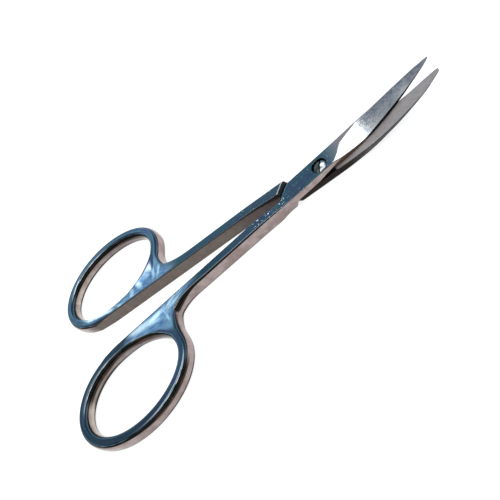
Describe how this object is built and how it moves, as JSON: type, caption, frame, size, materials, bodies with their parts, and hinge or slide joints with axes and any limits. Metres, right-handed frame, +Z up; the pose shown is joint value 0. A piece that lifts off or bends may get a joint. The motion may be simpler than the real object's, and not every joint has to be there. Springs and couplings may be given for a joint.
{
  "type": "beauty scissors",
  "caption": "Small curved grooming scissors of polished steel: two forged halves with finger rings, joined by a slotted pivot screw, blades bent upwards.",
  "frame": {"origin": "on the pivot axis, at the screw's flat end, level with the flat underside of the two handles", "axes": "+X along the line that halves the angle between the open halves, towards the points; +Z up out of the flat underside, the way the blades bend; +Y completes the right-handed frame"},
  "size_m": [0.0891, 0.0491, 0.0047],
  "materials": {
    "polished_steel": "polished stainless steel with fine wear marks",
    "worn_steel": "polished stainless steel, with the facing wall left dull",
    "screw_steel": "bright turned steel"
  },
  "bodies": {
    "lower": {"lower_half": "worn_steel", "pivot_screw": "screw_steel"},
    "upper": {"upper_half": "polished_steel"}
  },
  "joints": [
    {"name": "pivot", "type": "hinge", "parent": "lower", "child": "upper", "pos_m": [0, 0, 0], "axis": [0, 0, 1], "range_deg": [-8.9, 51.1]}
  ]
}
